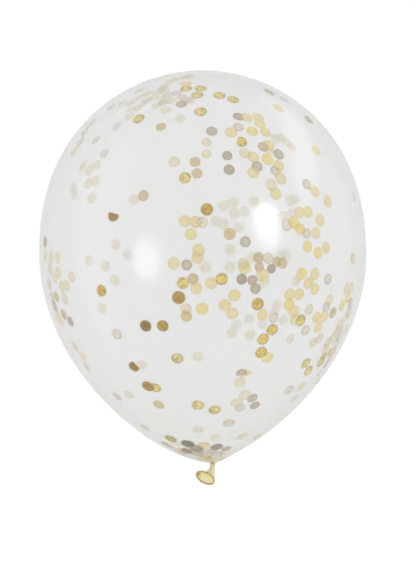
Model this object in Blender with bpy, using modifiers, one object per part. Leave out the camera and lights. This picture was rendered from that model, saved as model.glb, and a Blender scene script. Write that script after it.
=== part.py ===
"""A clear latex balloon, blown up and pinched shut at the neck, lying on its side.

The balloon is one moulded skin. Its body is sealed and is modelled solid. Its pinched neck
opens into a short flared tail, which is hollow, with a wall and a rolled lip. The model is
parted at the neck, by a narrow gap, into the body and the tail.

The body is turned about its own Z axis, from the crown at the top to the neck at the bottom,
where its last few millimetres are pulled to one side. It is then laid down so that the crown
points along +Y and the neck along -Y, with the flat spot that it rests on at Z = 0 and centred
on the origin.
"""

import math

import bmesh
import bpy
from mathutils import Matrix, Vector

# The body, in metres. Heights are measured from the plane of the widest girth.
BELLY_DIAMETER = 0.300
CROWN_RISE = 0.1695
NECK_DROP = 0.1920

# How the outline curves away from the belly. Powers of 2 and 0.5 would make an ellipse.
CROWN_POWER = 2.27
CROWN_ROUND_POWER = 0.512
NECK_POWER = 1.91
NECK_ROUND_POWER = 0.714

# How far the neck is pulled to one side, and how late on the way down the pull sets in.
NECK_SIDESTEP = 0.0078
SIDESTEP_POWER = 40.0

# The flat spot that the skin takes where it lies: how deep it cuts into the round body.
FLAT_SPOT_DEPTH = 0.0014

# The pinched neck and the tail below it.
PINCH_DIAMETER = 0.0039
PINCH_COLLAR = 0.0005
COLLAR_SHARE = 0.2
TAIL_WALL = 0.0007
TAIL_ROOT = 0.008
PARTING_GAP = 0.0003

# The mouth: its width inside the tail's wall, the lip's thickness, and where the mouth looks.
MOUTH_WIDTH = 0.0164
LIP_BEAD = 0.0016
MOUTH_SIDE_TURN = math.radians(-30.0)
MOUTH_FRONT_TURN = math.radians(33.0)

# Where the mouth's centre lies from the neck: to the other side, to the front and down.
MOUTH_SHIFT = 0.0074
MOUTH_FORWARD = 0.0040
MOUTH_DROP = 0.0134

# How late on the way down the tail widens and swings aside, and how late it turns.
FLARE_POWER = 2.4
TURN_POWER = 1.5

# The share of the tail's run where its inside opens, and how far its cutter runs past the lip.
BORE_START_SHARE = 0.35
BORE_OVERRUN = 0.002

# Facets.
BODY_SIDES = 60
CROWN_RINGS = 15
NECK_RINGS = 18
TAIL_STEPS = 12
TAIL_SIDES = 24
BEAD_SECTIONS = 24
BEAD_SIDES = 8
SHARP_ANGLE = math.radians(40.0)
MERGE_DISTANCE = 0.00001

# How finely the resting place is worked out, and how far from the belly it is looked for.
WEIGHING_STEPS = 4000
HALVINGS = 60
SEARCH_SHARE = 0.6

# Stretched thin, the latex is clear. At the neck and tail it is thick and amber.
CLEAR_COLOUR = (0.90, 0.89, 0.85, 1.0)
CLEAR_ALPHA = 0.3
AMBER_COLOUR = (0.76, 0.62, 0.28, 1.0)
AMBER_ALPHA = 0.75
LATEX_ROUGHNESS = 0.2


def body_radius(height):
    """Radius of the turned body at a height above the belly plane."""
    if height >= 0:
        share, power, round_power = height / CROWN_RISE, CROWN_POWER, CROWN_ROUND_POWER
    else:
        share, power, round_power = -height / NECK_DROP, NECK_POWER, NECK_ROUND_POWER
    return BELLY_DIAMETER / 2 * max(0.0, 1.0 - share**power) ** round_power


def body_slope(height):
    """Change of the body's radius for a step up the axis."""
    step = BELLY_DIAMETER * 1e-4
    return (body_radius(height + step) - body_radius(height - step)) / (2 * step)


def centre_of_mass_height():
    """Height of the solid body's centre of mass above the belly plane."""
    length = CROWN_RISE + NECK_DROP
    weight = moment = 0.0
    for step in range(WEIGHING_STEPS):
        height = -NECK_DROP + length * (step + 0.5) / WEIGHING_STEPS
        area = body_radius(height) ** 2
        weight += area
        moment += area * height
    return moment / weight


def resting_height():
    """Height of the ring that touches the floor: its surface normal passes the centre of mass."""
    balance = centre_of_mass_height()
    low, high = -NECK_DROP * SEARCH_SHARE, CROWN_RISE * SEARCH_SHARE
    for _ in range(HALVINGS):
        middle = (low + high) / 2
        foot = middle + body_radius(middle) * body_slope(middle)
        if foot < balance:
            low = middle
        else:
            high = middle
    return (low + high) / 2


def pull_to_side(height):
    """How far the body's centre line is pulled to the side, at a height above the belly plane."""
    return NECK_SIDESTEP * max(0.0, -height / NECK_DROP) ** SIDESTEP_POWER


def latex_material(name, colour, alpha):
    """Smooth latex, which lets some light through."""
    material = bpy.data.materials.new(name)
    material.use_nodes = True
    shader = material.node_tree.nodes["Principled BSDF"]
    shader.inputs["Base Color"].default_value = colour
    shader.inputs["Roughness"].default_value = LATEX_ROUGHNESS
    shader.inputs["Metallic"].default_value = 0.0
    shader.inputs["Alpha"].default_value = alpha
    return material


def new_collection(name):
    """A collection linked to the scene."""
    collection = bpy.data.collections.new(name)
    bpy.context.scene.collection.children.link(collection)
    return collection


def move_to(obj, collection):
    """Keeps an object in this collection alone."""
    for other in list(obj.users_collection):
        other.objects.unlink(obj)
    collection.objects.link(obj)
    return obj


def as_helper(obj):
    """Marks a shape that only cuts or joins another one."""
    obj.hide_render = True
    obj.display_type = "WIRE"
    return obj


def as_mesh(obj, name):
    """The object's finished shape as a plain welded mesh. The object is removed."""
    bpy.context.view_layer.update()
    graph = bpy.context.evaluated_depsgraph_get()
    mesh = bpy.data.meshes.new_from_object(obj.evaluated_get(graph))
    mesh.name = name
    bpy.data.objects.remove(obj)
    weld = bmesh.new()
    weld.from_mesh(mesh)
    bmesh.ops.remove_doubles(weld, verts=weld.verts, dist=MERGE_DISTANCE)
    bmesh.ops.recalc_face_normals(weld, faces=weld.faces)
    weld.to_mesh(mesh)
    weld.free()
    return mesh


def body_profile():
    """The body's outline from crown to neck, as points at +X running down."""
    points = []
    for ring in range(CROWN_RINGS):
        height = CROWN_RISE * math.cos(math.pi / 2 * ring / CROWN_RINGS)
        points.append(Vector((body_radius(height), 0.0, height)))
    for ring in range(NECK_RINGS + 1):
        height = -NECK_DROP * math.sin(math.pi / 2 * ring / NECK_RINGS)
        points.append(Vector((body_radius(height), 0.0, height)))
    return points


def make_body(name, collection):
    """The round body: its outline turned about the Z axis, and the neck pulled to one side."""
    mesh = bpy.data.meshes.new(name + "_outline")
    points = body_profile()
    links = [(i, i + 1) for i in range(len(points) - 1)]
    mesh.from_pydata(points, links, [])
    outline = bpy.data.objects.new(name + "_outline", mesh)
    collection.objects.link(outline)
    turn = outline.modifiers.new("turned body", "SCREW")
    turn.axis = "Z"
    turn.angle = 2 * math.pi
    turn.steps = BODY_SIDES
    turn.render_steps = BODY_SIDES
    turn.use_merge_vertices = True
    turn.merge_threshold = MERGE_DISTANCE
    turn.use_smooth_shade = True
    mesh = as_mesh(outline, name)
    for vertex in mesh.vertices:
        vertex.co.x += pull_to_side(vertex.co.z)
    body = bpy.data.objects.new(name, mesh)
    collection.objects.link(body)
    return body


def mouth_direction():
    """The way the open mouth looks: down, turned to the side and to the front, which is -Y."""
    down = math.cos(MOUTH_SIDE_TURN) * math.cos(MOUTH_FRONT_TURN)
    side = math.sin(MOUTH_SIDE_TURN) * math.cos(MOUTH_FRONT_TURN)
    return Vector((side, -math.sin(MOUTH_FRONT_TURN), -down))


def neck_exit():
    """The point where the neck's centre line leaves the body."""
    return Vector((NECK_SIDESTEP, 0.0, -NECK_DROP))


def tail_centre(share):
    """Centre of the tail's section: 0 at the neck, 1 at the mouth. It swings aside as it widens."""
    swing = share**FLARE_POWER
    return neck_exit() + Vector((-MOUTH_SHIFT * swing, -MOUTH_FORWARD * swing, -MOUTH_DROP * share))


def tail_direction(share):
    """The way the tail's section looks, turning from straight down to the mouth's direction."""
    turned = share**TURN_POWER
    return (Vector((0.0, 0.0, -1.0)) * (1 - turned) + mouth_direction() * turned).normalized()


def tail_radius(share):
    """Outer radius of the tail, widening from the pinch at 0 to the mouth at 1."""
    pinch = PINCH_DIAMETER / 2
    mouth = MOUTH_WIDTH / 2 + TAIL_WALL
    collar = PINCH_COLLAR * max(0.0, 1 - share / COLLAR_SHARE) ** 2
    return pinch + (mouth - pinch) * share**FLARE_POWER + collar


def loft(name, sections, collection):
    """A closed solid through round sections, each a centre, a direction and a radius."""
    shell = bmesh.new()
    rings = []
    for centre, direction, radius in sections:
        turned = Vector((0.0, 0.0, -1.0)).rotation_difference(direction).to_matrix().to_4x4()
        place = Matrix.Translation(centre) @ turned
        ring = bmesh.ops.create_circle(shell, segments=TAIL_SIDES, radius=radius, matrix=place)
        rings.append(ring["verts"])
    for ring, after in zip(rings, rings[1:]):
        for i in range(TAIL_SIDES):
            shell.faces.new((ring[i - 1], ring[i], after[i], after[i - 1]))
    shell.faces.new(rings[0])
    shell.faces.new(rings[-1])
    bmesh.ops.recalc_face_normals(shell, faces=shell.faces)
    mesh = bpy.data.meshes.new(name)
    shell.to_mesh(mesh)
    shell.free()
    mesh.shade_smooth()
    mesh.set_sharp_from_angle(angle=SHARP_ANGLE)
    solid = bpy.data.objects.new(name, mesh)
    collection.objects.link(solid)
    return solid


def make_tail(name, collection):
    """The pinched neck and the flared tail, not yet hollow, rooted inside the body."""
    shares = [step / TAIL_STEPS for step in range(TAIL_STEPS + 1)]
    sections = [(tail_centre(s), tail_direction(s), tail_radius(s)) for s in shares]
    root = neck_exit() + Vector((0.0, 0.0, TAIL_ROOT))
    sections.insert(0, (root, tail_direction(0), tail_radius(0)))
    return loft(name, sections, collection)


def make_bore(collection):
    """The hollow inside the tail, running past the mouth."""
    run = (1 - BORE_START_SHARE) / TAIL_STEPS
    shares = [BORE_START_SHARE + run * step for step in range(TAIL_STEPS + 1)]
    sections = [(tail_centre(s), tail_direction(s), tail_radius(s) - TAIL_WALL) for s in shares]
    beyond = tail_centre(1) + mouth_direction() * BORE_OVERRUN
    sections.append((beyond, mouth_direction(), MOUTH_WIDTH / 2))
    return as_helper(loft("tail_inside", sections, collection))


def make_lip(collection):
    """The rolled bead on the rim of the mouth, centred on the tail's wall."""
    bpy.ops.mesh.primitive_torus_add(
        major_radius=(MOUTH_WIDTH + TAIL_WALL) / 2,
        minor_radius=LIP_BEAD / 2,
        major_segments=BEAD_SECTIONS,
        minor_segments=BEAD_SIDES,
        location=tail_centre(1),
        rotation=mouth_direction().to_track_quat("Z", "Y").to_euler(),
    )
    lip = bpy.context.object
    lip.name = "lip_bead"
    return as_helper(move_to(lip, collection))


def make_parting(body, collection):
    """The body's own shape, moved down by the gap. It cuts the tail off where the body ends."""
    parting = bpy.data.objects.new("parting", body.data)
    parting.location.z = -PARTING_GAP
    collection.objects.link(parting)
    return as_helper(parting)


def make_floor_block(collection):
    """A block whose top is the floor. It cuts the flat spot."""
    side = 2 * (CROWN_RISE + NECK_DROP)
    bpy.ops.mesh.primitive_cube_add(size=side, location=(0.0, 0.0, -side / 2))
    block = bpy.context.object
    block.name = "floor_block"
    return as_helper(move_to(block, collection))


def add_boolean(obj, name, operation, other):
    """Joins or cuts an object with another one."""
    modifier = obj.modifiers.new(name, "BOOLEAN")
    modifier.operation = operation
    modifier.solver = "EXACT"
    modifier.object = other
    return modifier


def lay_down(holder):
    """Lays the balloon on its flat spot, centred on the origin, as its own weight would."""
    height = resting_height()
    tilt = math.atan(body_slope(height))
    holder.rotation_euler = (tilt - math.pi / 2, 0.0, 0.0)
    rotation = holder.rotation_euler.to_matrix()
    touch = rotation @ Vector((0.0, body_radius(height), height))
    holder.location = -touch - Vector((0.0, 0.0, FLAT_SPOT_DEPTH))


def main():
    """Builds the balloon."""
    for obj in list(bpy.data.objects):
        bpy.data.objects.remove(obj)
    pieces = new_collection("confetti balloon")
    cutters = new_collection("cutters")
    body = make_body("balloon_body", pieces)
    tail = make_tail("balloon_tail", pieces)
    bore = make_bore(cutters)
    lip = make_lip(cutters)
    parting = make_parting(body, cutters)
    floor_block = make_floor_block(cutters)
    body.data.materials.append(latex_material("clear_latex", CLEAR_COLOUR, CLEAR_ALPHA))
    tail.data.materials.append(latex_material("amber_latex", AMBER_COLOUR, AMBER_ALPHA))
    holder = bpy.data.objects.new("balloon", None)
    pieces.objects.link(holder)
    for obj in (body, tail, bore, lip, parting):
        obj.parent = holder
    lay_down(holder)
    add_boolean(tail, "hollow tail", "DIFFERENCE", bore)
    add_boolean(tail, "rolled lip", "UNION", lip)
    add_boolean(tail, "parted from the body", "DIFFERENCE", parting)
    add_boolean(body, "flat spot", "DIFFERENCE", floor_block)
    bpy.context.view_layer.update()


main()
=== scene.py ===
"""A clear latex balloon with punched confetti sealed in it, lying on a pale studio floor.

The balloon's skin is one piece: a glossy clear film outside, a milky lining half a millimetre
inside it, and the amber tail below the pinched neck. The near wall's confetti lies between film
and lining, and looks vivid. The far wall's lies inside its lining, and the near wall veils it.
"""
import itertools
import logging
import math
import random
from dataclasses import dataclass, field
from enum import Enum
from typing import Any, Iterator

import bmesh
import bpy
from bpy.types import Material, Mesh, Node, NodeSocket, NodeTree, Object
from mathutils import Matrix, Vector
from mathutils.bvhtree import BVHTree


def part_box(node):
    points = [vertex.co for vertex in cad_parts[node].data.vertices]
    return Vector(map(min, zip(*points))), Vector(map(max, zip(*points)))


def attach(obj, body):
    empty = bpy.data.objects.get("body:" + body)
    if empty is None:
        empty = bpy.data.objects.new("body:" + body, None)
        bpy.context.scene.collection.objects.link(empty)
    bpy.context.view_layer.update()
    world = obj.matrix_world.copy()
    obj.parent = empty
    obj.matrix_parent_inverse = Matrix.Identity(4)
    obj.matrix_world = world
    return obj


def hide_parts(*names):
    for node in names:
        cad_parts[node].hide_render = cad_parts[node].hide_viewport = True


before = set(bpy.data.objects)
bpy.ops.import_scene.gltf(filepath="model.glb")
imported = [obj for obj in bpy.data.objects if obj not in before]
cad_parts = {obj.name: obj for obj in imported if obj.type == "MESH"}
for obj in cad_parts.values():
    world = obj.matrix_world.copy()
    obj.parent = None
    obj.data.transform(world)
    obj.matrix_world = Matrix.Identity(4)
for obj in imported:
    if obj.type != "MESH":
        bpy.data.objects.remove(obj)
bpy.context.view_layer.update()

LOG = logging.getLogger("confetti_balloon")
BODY_NAME = "root"

# The photograph's frame, in pixels. Every place given in pixels is in this frame.
PHOTO_WIDTH = 416
PHOTO_HEIGHT = 562

# Attributes that the meshes carry for their materials.
# The thickness mark holds the latex's thickness, and painted shade near the balloon's crown and in the tail's
# funnel.
THICKNESS_AND_SHADE_NAME = "thickness"
TONE_NAME = "tone"
RIM_NAME = "rim"

# The Mix node's colour sockets: its two inputs and its output.
MIX_FIRST, MIX_SECOND, MIX_RESULT = 6, 7, 2

# Blender's words for the sockets that take each kind of value.
SOCKET_KINDS = {
    bool: "Bool", int: "Int", float: "Float", Vector: "Vector", Material: "Material", Object: "Object",
}

# A pixel's column and row.
Spot = tuple[float, float]
Colour = tuple[float, ...]
WHITE: Colour = (1.0, 1.0, 1.0, 1.0)


@dataclass(frozen=True)
class Rise:
    """A smooth change from start to end while something goes from low to high."""

    low: float
    high: float
    start: float = 0.0
    end: float = 1.0

    def at(self, value: float) -> float:
        """What it comes to at a value."""
        share = min(1.0, max(0.0, (value - self.low) / (self.high - self.low)))
        return self.start + (self.end - self.start) * share * share * (3 - 2 * share)


@dataclass(frozen=True)
class Dome:
    """One end of the body, from the belly plane out: its length, and the two powers of its outline."""

    length: float
    power: float
    rounding: float


@dataclass(frozen=True)
class BodyForm:
    """Outline of the blown-up body, in metres, in its own frame: Z up its axis to the crown."""

    belly_width: float
    crown: Dome = Dome(0.1695, 2.27, 0.512)
    neck: Dome = Dome(0.1904, 1.91, 0.706)
    neck_sidestep: float = 0.0067
    sidestep_power: float = 40.0
    flat_spot_depth: float = 0.0014
    slope_step: float = 0.0001
    weighing_steps: int = 4000
    halvings: int = 60
    search_share: float = 0.6

    def radius(self, height: float) -> float:
        """Radius of the body at a height above the belly plane."""
        dome = self.crown if height >= 0 else self.neck
        return self.belly_width / 2 * max(0.0, 1.0 - abs(height / dome.length) ** dome.power) ** dome.rounding

    def slope(self, height: float) -> float:
        """Change of the radius for a step up the axis."""
        step = self.belly_width * self.slope_step
        return (self.radius(height + step) - self.radius(height - step)) / (2 * step)

    def balance(self) -> float:
        """Weighs the solid body slice by slice.

        Returns:
            Height of its centre of mass above the belly plane.
        """
        length = self.crown.length + self.neck.length
        weight = moment = 0.0
        for step in range(self.weighing_steps):
            height = -self.neck.length + length * (step + 0.5) / self.weighing_steps
            area = self.radius(height) ** 2
            weight += area
            moment += area * height
        return moment / weight

    def resting_height(self) -> float:
        """Finds the ring that touches the floor: it lies straight below the centre of mass.

        Returns:
            Height of the ring above the belly plane.
        """
        balance = self.balance()
        low, high = -self.neck.length * self.search_share, self.crown.length * self.search_share
        for _ in range(self.halvings):
            middle = (low + high) / 2
            if middle + self.radius(middle) * self.slope(middle) < balance:
                low = middle
            else:
                high = middle
        return (low + high) / 2

    def laying(self) -> Matrix:
        """Lays the upright balloon down on its flat spot, with the crown at +Y.

        Returns:
            The matrix that does so.
        """
        height = self.resting_height()
        tilt = math.atan(self.slope(height))
        turn = Matrix.Rotation(tilt - math.pi / 2, 4, "X")
        touch = turn @ Vector((0, self.radius(height), height))
        return Matrix.Translation(-touch - Vector((0, 0, self.flat_spot_depth))) @ turn

    def neck_exit(self) -> Vector:
        """Point where the tail leaves the body."""
        return Vector((self.neck_sidestep, 0, -self.neck.length))


@dataclass(frozen=True)
class TailForm:
    """Shape of the pinched tail and its rolled lip, in metres, in the body's own frame."""

    pinch_width: float = 0.0044
    collar: float = 0.0005
    collar_share: float = 0.2
    wall: float = 0.0007
    mouth_width: float = 0.0170
    lip_bead: float = 0.0015
    side_turn: float = math.radians(-30.0)
    front_turn: float = math.radians(35.0)
    mouth_shift: float = 0.0068
    mouth_forward: float = 0.0040
    mouth_drop: float = 0.0127
    flare_power: float = 2.4
    turn_power: float = 1.5
    bore_start: float = 0.35
    root: float = 0.0020

    def mouth_direction(self) -> Vector:
        """Direction in which the open mouth looks."""
        level = Vector((math.sin(self.side_turn), 0, -math.cos(self.side_turn)))
        return level * math.cos(self.front_turn) - Vector((0, math.sin(self.front_turn), 0))

    def centre(self, share: float) -> Vector:
        """Middle of the tail's section, from the neck's exit, at a share of the way to the mouth."""
        swing = max(0.0, share) ** self.flare_power
        return Vector((-self.mouth_shift * swing, -self.mouth_forward * swing, -self.mouth_drop * share))

    def direction(self, share: float) -> Vector:
        """Direction that the tail's section faces at a share of the way."""
        turned = max(0.0, share) ** self.turn_power
        return (Vector((0, 0, -1)) * (1 - turned) + self.mouth_direction() * turned).normalized()

    def radius(self, share: float) -> float:
        """Radius of the tail's outside, with a small collar at the pinch.

        Args:
            share: Share of the way to the mouth.

        Returns:
            The radius there.
        """
        pinch, mouth = self.pinch_width / 2, self.mouth_width / 2 + self.wall
        collar = self.collar * max(0.0, 1 - max(0.0, share) / self.collar_share) ** 2
        return pinch + (mouth - pinch) * max(0.0, share) ** self.flare_power + collar


class Term:
    """A node's output, which formulas reckon with by adding Math nodes."""

    def __init__(self, bench: "Bench", socket: NodeSocket) -> None:
        """Takes the bench of the output's tree, and the output."""
        self.bench, self.socket = bench, socket

    def step(self, operation: str, *others: Any) -> "Term":
        """Result of a Math node on this term and the others."""
        return self.bench.get("ShaderNodeMath", dict(enumerate((self, *others))), operation=operation)

    def __add__(self, other: Any) -> "Term":
        """This and the other together."""
        return self.step("ADD", other)

    def __sub__(self, other: Any) -> "Term":
        """This less the other."""
        return self.step("SUBTRACT", other)

    def __mul__(self, other: Any) -> "Term":
        """This times the other."""
        return self.step("MULTIPLY", other)

    def __truediv__(self, other: Any) -> "Term":
        """This divided by the other."""
        return self.step("DIVIDE", other)

    def __pow__(self, other: Any) -> "Term":
        """This to the power of the other."""
        return self.step("POWER", other)


class Bench:
    """Adds nodes to one tree and wires them."""

    def __init__(self, tree: NodeTree) -> None:
        """Takes the tree that the nodes go into."""
        self.tree = tree

    def fill(self, node: Node, feeds: dict[Any, Any]) -> None:
        """Wires a node's inputs, or sets plain values on them.

        Args:
            node: The node.
            feeds: What goes into each input, by its name or index: a term or a plain value.
        """
        for name, value in feeds.items():
            if isinstance(value, Term):
                self.tree.links.new(value.socket, node.inputs[name])
            else:
                node.inputs[name].default_value = value

    def add(self, kind: str, feeds: dict[Any, Any], **settings: Any) -> Node:
        """Adds one node.

        Args:
            kind: Blender's name for the node's type.
            feeds: What goes into its inputs.
            settings: Properties of the node, which are set first.

        Returns:
            The new node.
        """
        node = self.tree.nodes.new(kind)
        for name, value in settings.items():
            setattr(node, name, value)
        self.fill(node, feeds)
        return node

    def get(self, kind: str, feeds: dict[Any, Any] | None = None, output: Any = 0, **settings: Any) -> Term:
        """Adds one node and takes one of its outputs, by name or index."""
        return Term(self, self.add(kind, feeds or {}, **settings).outputs[output])

    def split(self, place: Term) -> list[Term]:
        """The three coordinates of a place."""
        return [Term(self, part) for part in self.add("ShaderNodeSeparateXYZ", {0: place}).outputs]

    def join(self, *parts: Any) -> Term:
        """A place from its coordinates."""
        return self.get("ShaderNodeCombineXYZ", dict(enumerate(parts)))

    def stretch(self, arrow: Term, length: Any) -> Term:
        """An arrow or colour, scaled."""
        return self.get("ShaderNodeVectorMath", {"Vector": arrow, "Scale": length}, operation="SCALE")

    def together(self, first: Term, second: Term) -> Term:
        """Sum of two arrows."""
        return self.get("ShaderNodeVectorMath", {0: first, 1: second}, operation="ADD")

    def rise(self, value: Term, rise: Rise) -> Term:
        """What a smooth rise comes to at a value."""
        ends = {"From Min": rise.low, "From Max": rise.high, "To Min": rise.start, "To Max": rise.end}
        return self.get("ShaderNodeMapRange", {"Value": value, **ends}, interpolation_type="SMOOTHSTEP")

    def blend(self, share: Term, first: Any, second: Any) -> Term:
        """Colour between two colours."""
        feeds = {0: share, MIX_FIRST: first, MIX_SECOND: second}
        return self.get("ShaderNodeMix", feeds, MIX_RESULT, data_type="RGBA")

    def ramp(self, value: Term, stops: dict[float, Colour]) -> Term:
        """Colour that a value picks on a ramp.

        Args:
            value: A number from 0 to 1.
            stops: The colours by their place on the ramp, the first at 0 and the last at 1.

        Returns:
            The colour.
        """
        node = self.add("ShaderNodeValToRGB", {0: value})
        (_, first), *inner, (_, last) = stops.items()
        node.color_ramp.elements[0].color, node.color_ramp.elements[1].color = first, last
        for place, colour in inner:
            node.color_ramp.elements.new(place).color = colour
        return Term(self, node.outputs[0])

    def place(self, stretching: tuple[float, float, float] = (1.0, 1.0, 1.0)) -> Term:
        """Object coordinates, stretched along the axes."""
        there = self.get("ShaderNodeTexCoord", output="Object")
        return self.get("ShaderNodeMapping", {"Vector": there, "Scale": stretching})

    def mark(self, name: str) -> Term:
        """Number that the mesh carries under a name."""
        return self.get("ShaderNodeAttribute", output="Fac", attribute_name=name)

    def noise(self, place: Term, scale: float, detail: float = 2.0) -> Term:
        """Noise at a place."""
        return self.get("ShaderNodeTexNoise", {"Vector": place, "Scale": scale, "Detail": detail})

    def bump(self, height: Term, strength: float, depth: float) -> Term:
        """Normal of a surface that a height raises."""
        return self.get("ShaderNodeBump", {"Height": height, "Strength": strength, "Distance": depth})

    def store(self, geometry: Term, name: str, value: Term, kind: str = "FLOAT") -> Term:
        """Geometry whose points carry a value under a name."""
        feeds = {"Geometry": geometry, "Name": name, "Value": value}
        return self.get("GeometryNodeStoreNamedAttribute", feeds, data_type=kind, domain="POINT")


def put(name: str, data: Any) -> Object:
    """Puts a new object into the scene.

    Args:
        name: The object's name.
        data: Its mesh, light or camera.

    Returns:
        The object.
    """
    piece = bpy.data.objects.new(name, data)
    bpy.context.scene.collection.objects.link(piece)
    return piece


class GrownMesh:
    """A Geometry Nodes tree with named inputs, and the mesh that it grows."""

    def __init__(self, name: str, sizes: dict[str, Any]) -> None:
        """Opens the tree.

        Args:
            name: Name of the tree.
            sizes: Named inputs and their values. The value's type gives the socket's type.
        """
        self.name = name
        self.tree = bpy.data.node_groups.new(name, "GeometryNodeTree")
        self.bench = Bench(self.tree)
        self.tree.interface.new_socket("Geometry", in_out="INPUT", socket_type="NodeSocketGeometry")
        self.tree.interface.new_socket("Geometry", in_out="OUTPUT", socket_type="NodeSocketGeometry")
        self.values: dict[str, Any] = {}
        for label, value in sizes.items():
            kind = "NodeSocket" + SOCKET_KINDS[type(value)]
            item = self.tree.interface.new_socket(label, in_out="INPUT", socket_type=kind)
            self.values[item.identifier] = value
        self.entry = self.bench.add("NodeGroupInput", {})

    def size(self, label: str) -> Term:
        """The named input that has this label."""
        return Term(self.bench, self.entry.outputs[label])

    def close(self, geometry: Term, material: Term) -> None:
        """Ends the tree in Realize Instances and Set Material.

        Args:
            geometry: What the tree has made.
            material: Its finish.
        """
        real = self.bench.get("GeometryNodeRealizeInstances", {"Geometry": geometry})
        dressed = self.bench.get("GeometryNodeSetMaterial", {"Geometry": real, "Material": material})
        self.bench.add("NodeGroupOutput", {0: dressed})

    def grow(self, start: Mesh) -> Object:
        """Runs the tree on a start mesh and keeps the result as a plain mesh.

        Args:
            start: Mesh that the modifier works on.

        Returns:
            The object, with no modifier left on it.
        """
        piece = put(self.name, start)
        modifier = piece.modifiers.new(self.name, "NODES")
        modifier.node_group = self.tree
        for identifier, value in self.values.items():
            modifier[identifier] = value[:] if isinstance(value, Vector) else value
        graph = bpy.context.evaluated_depsgraph_get()
        mesh = bpy.data.meshes.new_from_object(piece.evaluated_get(graph), depsgraph=graph)
        piece.modifiers.clear()
        piece.data = mesh
        mesh.name = self.name
        return piece


def new_finish(name: str) -> tuple[Material, Bench, Node]:
    """Makes a new material.

    Args:
        name: Its name.

    Returns:
        The material, the bench for its nodes, and its Principled node.
    """
    material = bpy.data.materials.new(name)
    material.use_nodes = True
    return material, Bench(material.node_tree), material.node_tree.nodes["Principled BSDF"]


@dataclass(frozen=True)
class GlossyFilm:
    """The clear outer face of the stretched latex: a faint mirror and nothing else."""

    colour: Colour = (0.97, 0.98, 1.0, 1.0)
    mirror_share: float = 0.065
    roughness: float = 0.19
    ripple_scale: float = 9.0
    ripple_strength: float = 0.2
    ripple_height: float = 0.02

    def material(self) -> Material:
        """Builds the finish.

        Returns:
            The material.
        """
        finish, bench, shader = new_finish("clear latex film")
        ripple = bench.noise(bench.place(), self.ripple_scale)
        bench.fill(shader, {
            "Base Color": self.colour, "Metallic": 1.0, "Alpha": self.mirror_share,
            "Roughness": self.roughness,
            "Normal": bench.bump(ripple, self.ripple_strength, self.ripple_height),
        })
        return finish


@dataclass(frozen=True)
class MilkyLining:
    """The inner face of the latex: a thin milky veil, khaki where the neck gathers it, with painted shade
    near the crown.
    """

    clear_colour: Colour = (0.915, 0.915, 0.92, 1.0)
    cloud_colour: Colour = (0.895, 0.895, 0.90, 1.0)
    cloud_scale: float = 7.0
    cloud_detail: float = 3.0
    clouding: Rise = Rise(0.35, 0.65)
    neck_colour: Colour = (0.60, 0.55, 0.30, 1.0)
    ring_scale: float = 50.0
    ring_stretch: tuple[float, float, float] = (1.0, 7.0, 1.0)
    ringing: Rise = Rise(0.35, 0.65, 0.6, 1.25)
    edge_tint: Colour = (0.912, 0.912, 0.904, 1.0)
    edge_index: float = 1.05
    haze: float = 0.52
    roughness: float = 0.55
    gloss: float = 0.2

    def material(self) -> Material:
        """Builds the finish.

        Returns:
            The material.
        """
        finish, bench, shader = new_finish("milky latex lining")
        cloud = bench.rise(bench.noise(bench.place(), self.cloud_scale, self.cloud_detail), self.clouding)
        ring = bench.rise(bench.noise(bench.place(self.ring_stretch), self.ring_scale), self.ringing)
        veil = bench.blend(cloud, self.clear_colour, self.cloud_colour)
        # The thickness mark blends in the neck colour: khaki latex at the neck, painted shade near the crown.
        bench.fill(shader, {
            "Base Color": bench.blend(bench.mark(THICKNESS_AND_SHADE_NAME) * ring, veil, self.neck_colour),
            "Roughness": self.roughness, "Specular IOR Level": self.gloss, "Alpha": self.haze,
            "Coat Weight": 1.0, "Coat IOR": self.edge_index, "Coat Tint": self.edge_tint,
        })
        return finish


@dataclass(frozen=True)
class AmberLatex:
    """Unstretched latex of the tail: amber where it is thick and where shade is painted in the funnel, cream
    where it is thin.
    """

    thin_colour: Colour = (0.95, 0.88, 0.70, 1.0)
    gold_colour: Colour = (0.78, 0.65, 0.30, 1.0)
    gold_place: float = 0.55
    thick_colour: Colour = (0.36, 0.29, 0.09, 1.0)
    glow: float = 0.7
    glow_reach: tuple[float, float, float] = (1.0, 0.8, 0.35)
    glow_depth: float = 0.003
    streak_scale: float = 900.0
    streak_stretch: tuple[float, float, float] = (1.0, 0.25, 1.0)
    streak_share: float = 0.5
    streak_strength: float = 0.25
    streak_depth: float = 0.0003
    roughness: float = 0.28
    fullness: float = 0.8

    def material(self) -> Material:
        """Builds the finish.

        Returns:
            The material.
        """
        finish, bench, shader = new_finish("amber latex")
        streak = bench.noise(bench.place(self.streak_stretch), self.streak_scale)
        thick = bench.mark(THICKNESS_AND_SHADE_NAME) + (streak * self.streak_share - self.streak_share / 2)
        stops = {0.0: self.thin_colour, self.gold_place: self.gold_colour, 1.0: self.thick_colour}
        bench.fill(shader, {
            "Base Color": bench.ramp(thick, stops), "Roughness": self.roughness, "Alpha": self.fullness,
            "Subsurface Weight": self.glow, "Subsurface Radius": self.glow_reach,
            "Subsurface Scale": self.glow_depth,
            "Normal": bench.bump(streak, self.streak_strength, self.streak_depth),
        })
        return finish


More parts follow.
